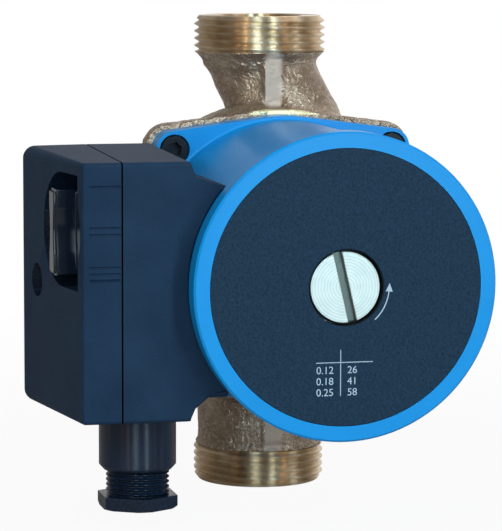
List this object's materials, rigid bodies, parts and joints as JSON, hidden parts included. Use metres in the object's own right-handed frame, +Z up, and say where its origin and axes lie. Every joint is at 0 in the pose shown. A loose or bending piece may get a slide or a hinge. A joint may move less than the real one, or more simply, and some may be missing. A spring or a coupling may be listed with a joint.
{
  "type": "circulation pump",
  "caption": "Wet-rotor circulation pump with in-line threaded ports, round motor on a lobed flange, terminal box with speed knob and a cable gland.",
  "frame": {"origin": "centre of the lower port's end face, on the port axis", "axes": "+Z up the port axis towards the outlet, -Y from the port axis towards the motor's face, -X towards the terminal box"},
  "size_m": [0.1318, 0.129, 0.15],
  "materials": {
    "cast_bronze": "rough sand casting with machined threads",
    "stainless_steel": "drawn and turned, satin",
    "black_rubber": "matte",
    "carbon_graphite": "fine matte",
    "white_ceramic": "ground",
    "rotor_sleeve": "ground",
    "impeller_plastic": "moulded, matte",
    "stator_iron": "stacked sheet",
    "copper_winding": "lacquered wire",
    "blue_paint": "semi-gloss paint on an aluminium casting",
    "plate_print": "satin print",
    "nickel_plate": "turned, pale",
    "black_steel": "black oxide",
    "black_box_plastic": "fine texture",
    "black_cover_plastic": "fine texture",
    "zinc_steel": "zinc plated",
    "gloss_knob_plastic": "glossy",
    "ivory_plastic": "moulded, matte",
    "dark_switch_plastic": "moulded, matte",
    "yellow_brass": "turned",
    "grey_capacitor_plastic": "moulded, matte"
  },
  "bodies": {
    "pump": {"pump_housing": "cast_bronze", "neck_ring": "stainless_steel", "bearing_plate": "stainless_steel", "rotor_can": "stainless_steel", "housing_gasket": "black_rubber", "box_gasket": "black_rubber", "lead_grommet": "black_rubber", "gland_seal": "black_rubber", "bearing_carrier": "black_rubber", "impeller_bearing": "carbon_graphite", "vent_bearing": "carbon_graphite", "stator_core": "stator_iron", "stator_windings": "copper_winding", "motor_housing": "blue_paint", "name_plate": "plate_print", "flange_screws": "black_steel", "terminal_box_base": "black_box_plastic", "terminal_box_cover": "black_cover_plastic", "cover_screw": "zinc_steel", "box_screws": "zinc_steel", "speed_switch": "dark_switch_plastic", "terminal_block": "ivory_plastic", "terminal_screws": "yellow_brass", "earth_screw": "yellow_brass", "capacitor": "grey_capacitor_plastic"},
    "rotor": {"shaft": "white_ceramic", "rotor_core": "rotor_sleeve", "thrust_ring": "carbon_graphite", "impeller": "impeller_plastic", "impeller_shroud": "impeller_plastic"},
    "knob": {"speed_knob": "gloss_knob_plastic", "switch_spindle": "ivory_plastic"},
    "vent_ring": {"vent_seal": "black_rubber"},
    "vent": {"vent_screw": "nickel_plate"},
    "slip": {"gland_clamp_ring": "dark_switch_plastic"},
    "gland": {"gland_screw": "black_box_plastic"}
  },
  "joints": [
    {"name": "rotor_spin", "type": "hinge", "parent": "pump", "child": "rotor", "pos_m": [0, -0.05, 0.075], "axis": [0, -1, 0], "continuous": true},
    {"name": "speed_select", "type": "hinge", "parent": "pump", "child": "knob", "pos_m": [-0.07, -0.0765, 0.0905], "axis": [-1, 0, 0], "range_deg": [0, 180]},
    {"name": "vent_travel", "type": "slide", "parent": "pump", "child": "vent_ring", "axis": [0, -1, 0], "range_m": [0, 0.0027]},
    {"name": "vent_turn", "type": "hinge", "parent": "vent_ring", "child": "vent", "pos_m": [0, -0.105, 0.075], "axis": [0, -1, 0], "range_deg": [0, 720]},
    {"name": "gland_travel", "type": "slide", "parent": "pump", "child": "slip", "axis": [0, 0, -1], "range_m": [0, 0.0031]},
    {"name": "gland_turn", "type": "hinge", "parent": "slip", "child": "gland", "pos_m": [-0.0534, -0.0665, 0.0074], "axis": [0, 0, -1], "range_deg": [0, 720]}
  ],
  "couplings": [
    {"joint": "vent_travel", "follows": "vent_turn", "m_per_rad": 0.00021279},
    {"joint": "gland_travel", "follows": "gland_turn", "m_per_rad": 0.00023873}
  ]
}
